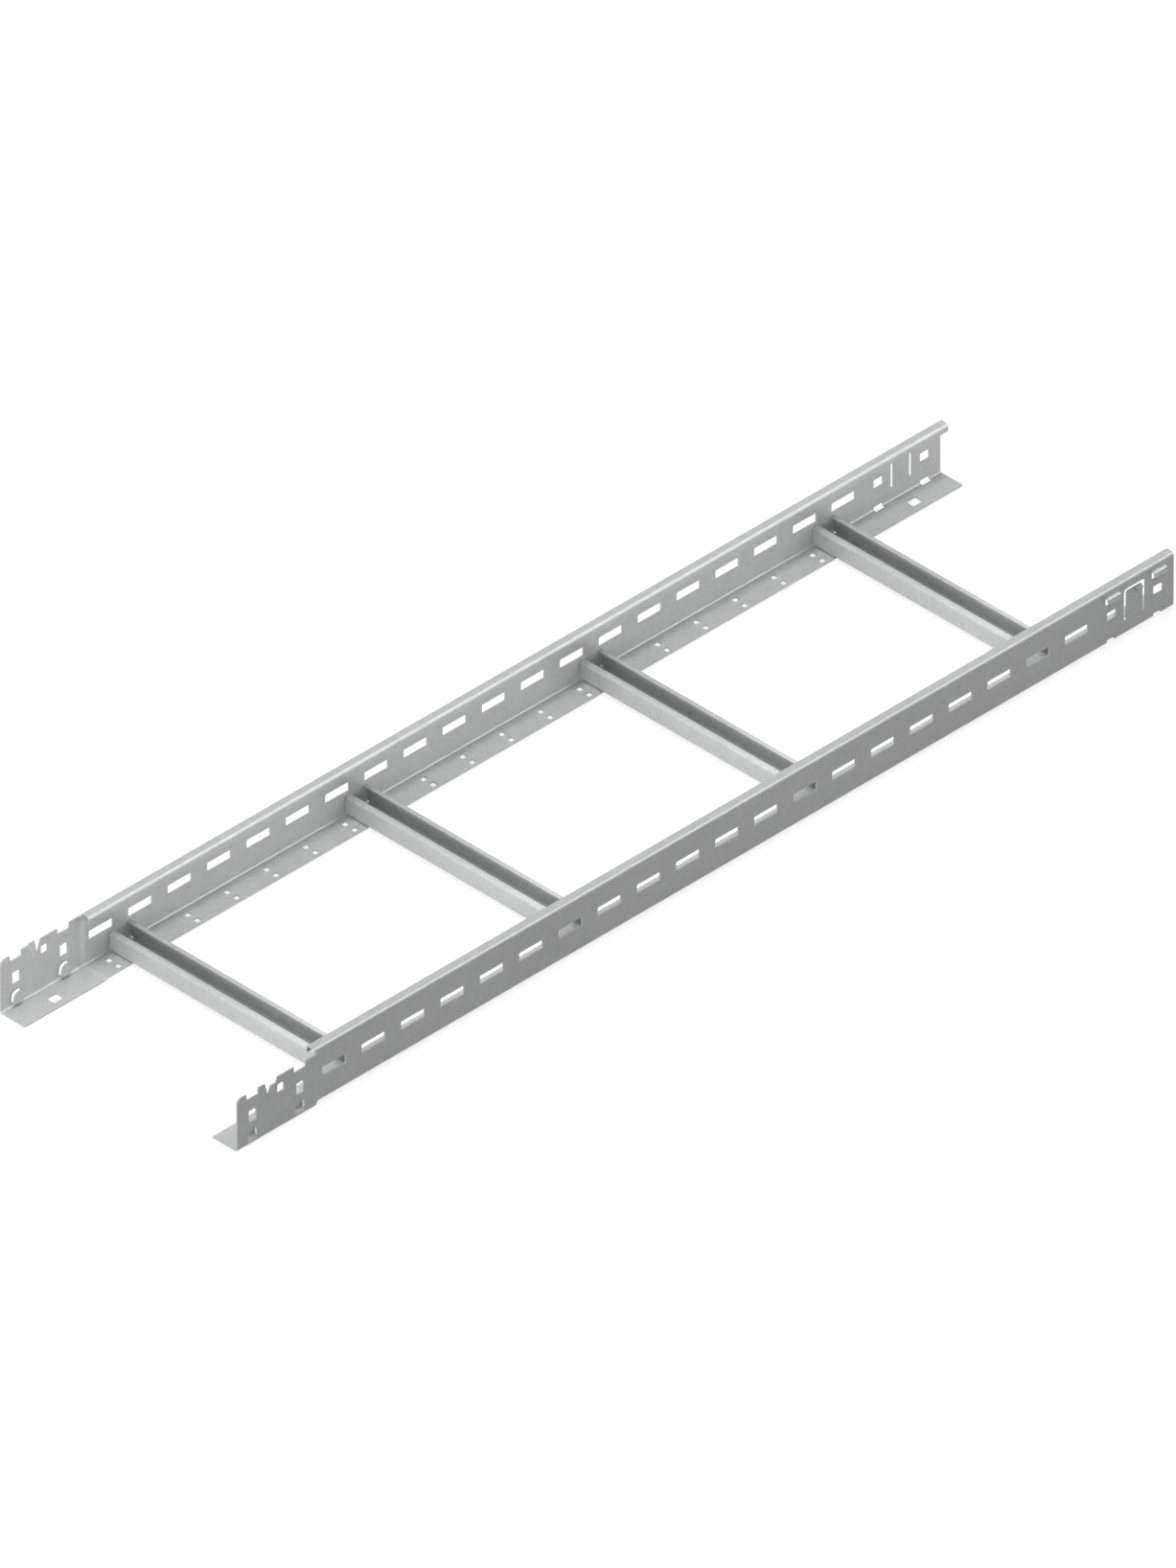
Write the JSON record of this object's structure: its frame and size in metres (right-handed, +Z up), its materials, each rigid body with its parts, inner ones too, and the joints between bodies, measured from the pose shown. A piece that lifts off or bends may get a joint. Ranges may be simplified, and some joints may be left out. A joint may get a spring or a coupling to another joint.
{
  "type": "cable ladder section",
  "caption": "Cable ladder section in galvanised sheet steel: mirrored folded side rails with punched webs, open C rungs across their flanges, and plug-in ends.",
  "frame": {"origin": "centre of the footprint, on the plane of the lowest sheet face (the underside of the set-out flanges)", "axes": "+X along the rails towards the plain end, +Y across the ladder towards the left rail, +Z up"},
  "size_m": [1.2, 0.311, 0.062],
  "materials": {
    "rail_steel": "galvanised",
    "rung_steel": "galvanised"
  },
  "bodies": {
    "root": {"rail_right": "rail_steel", "rail_left": "rail_steel", "rung_1": "rung_steel", "rung_2": "rung_steel", "rung_3": "rung_steel", "rung_4": "rung_steel"}
  },
  "joints": []
}
